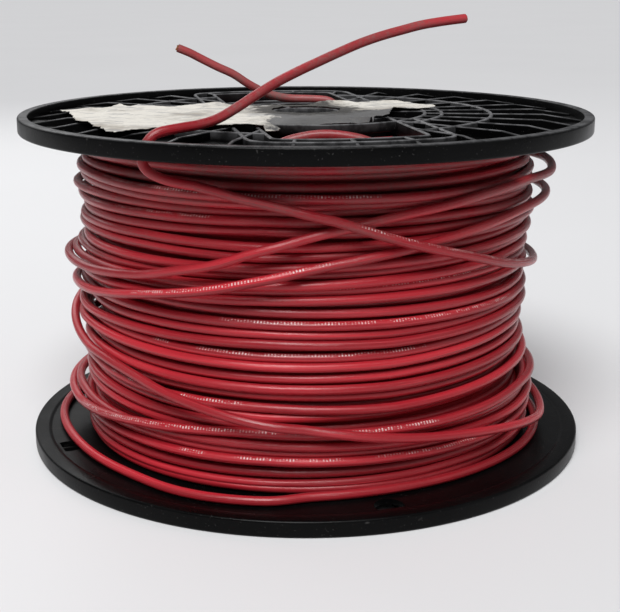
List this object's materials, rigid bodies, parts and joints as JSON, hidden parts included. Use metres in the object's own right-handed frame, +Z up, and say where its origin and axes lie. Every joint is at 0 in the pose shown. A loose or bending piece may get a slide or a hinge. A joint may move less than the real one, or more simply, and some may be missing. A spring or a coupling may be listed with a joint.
{
  "type": "spool of electrical wire",
  "caption": "Moulded plastic flanged spool wound with red jacketed electrical wire, both wire ends free, a torn paper label on its upper flange.",
  "frame": {"origin": "on the floor under the spool, on its axis, at the rim face of the lower flange", "axes": "+Z up along the spool's axis, -Y towards the viewer of the picture, +X to the viewer's right"},
  "size_m": [0.215, 0.215, 0.1622],
  "materials": {
    "black_plastic": "satin black moulded plastic, scuffed on the rims",
    "red_jacket": "satin nylon jacket, dusty in places, over stranded copper",
    "label_paper": "torn and soiled uncoated paper"
  },
  "bodies": {
    "root": {"bottom_flange": "black_plastic", "top_flange": "black_plastic", "barrel": "black_plastic", "wire_winding": "red_jacket", "wire_end_outer": "red_jacket", "wire_end_inner": "red_jacket", "label": "label_paper", "loose_turn_1": "red_jacket", "loose_turn_2": "red_jacket", "loose_turn_3": "red_jacket", "loose_turn_4": "red_jacket"}
  },
  "joints": []
}
